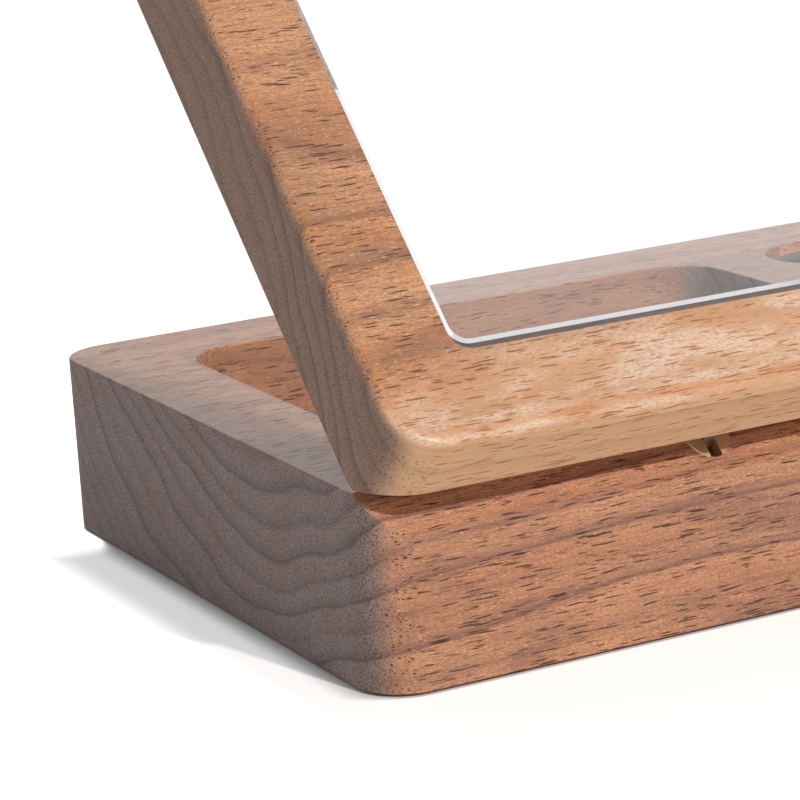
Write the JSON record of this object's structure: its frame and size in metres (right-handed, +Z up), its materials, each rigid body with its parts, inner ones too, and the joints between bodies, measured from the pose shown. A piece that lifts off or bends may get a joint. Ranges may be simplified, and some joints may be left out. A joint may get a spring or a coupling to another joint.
{
  "type": "ring box with drawer",
  "caption": "Long low wooden ring box with milled pockets, round ring wells, a framed clear lid on barrel hinges held half open, and a shallow drawer in the front.",
  "frame": {"origin": "on the table, under the middle of the base's footprint", "axes": "X along the box, +Y towards the hinge side, -Y towards the drawer's front, +Z up"},
  "size_m": [0.337, 0.1654, 0.1474],
  "materials": {
    "walnut": "oiled",
    "maple": "satin",
    "plywood": "satin",
    "brass": "satin",
    "steel": "satin",
    "magnet": "bright",
    "felt": "felt",
    "velvet": "velvet",
    "pane": "clear"
  },
  "bodies": {
    "base": {"base_body": "walnut", "bottom_panel": "plywood", "bottom_screws": "brass", "bottom_felt": "felt", "pocket_liner_left": "felt", "pocket_liner_right": "felt", "ring_cushion_front": "velvet", "ring_cushion_middle": "velvet", "ring_cushion_rear": "velvet", "hinge_base_barrel_left": "brass", "hinge_base_barrel_right": "brass", "hinge_base_pins": "steel", "catch_magnet": "magnet", "drawer_stop_pin": "brass"},
    "hinge_links": {"hinge_link_left": "steel", "hinge_link_right": "steel"},
    "lid": {"lid_frame": "walnut", "lid_pane": "pane", "hinge_lid_barrel_left": "brass", "hinge_lid_barrel_right": "brass", "hinge_lid_pins": "steel"},
    "drawer": {"drawer_front": "walnut", "drawer_side_left": "maple", "drawer_side_right": "maple", "drawer_back": "maple", "drawer_bottom": "plywood", "drawer_liner": "felt", "drawer_magnet": "magnet", "drawer_knob": "brass", "drawer_knob_screw": "brass"}
  },
  "joints": [
    {"name": "link_pivot", "type": "hinge", "parent": "base", "child": "hinge_links", "pos_m": [0, 0.0649, 0.033], "axis": [-1, 0, 0], "range_deg": [-22.5, 22.5]},
    {"name": "lid_pivot", "type": "hinge", "parent": "hinge_links", "child": "lid", "pos_m": [0, 0.06723, 0.03864], "axis": [-1, 0, 0], "range_deg": [-22.5, 22.5]},
    {"name": "drawer_slide", "type": "slide", "parent": "base", "child": "drawer", "axis": [0, -1, 0], "range_m": [0, 0.09]}
  ],
  "couplings": [
    {"joint": "link_pivot", "follows": "lid_pivot", "ratio": 1}
  ]
}
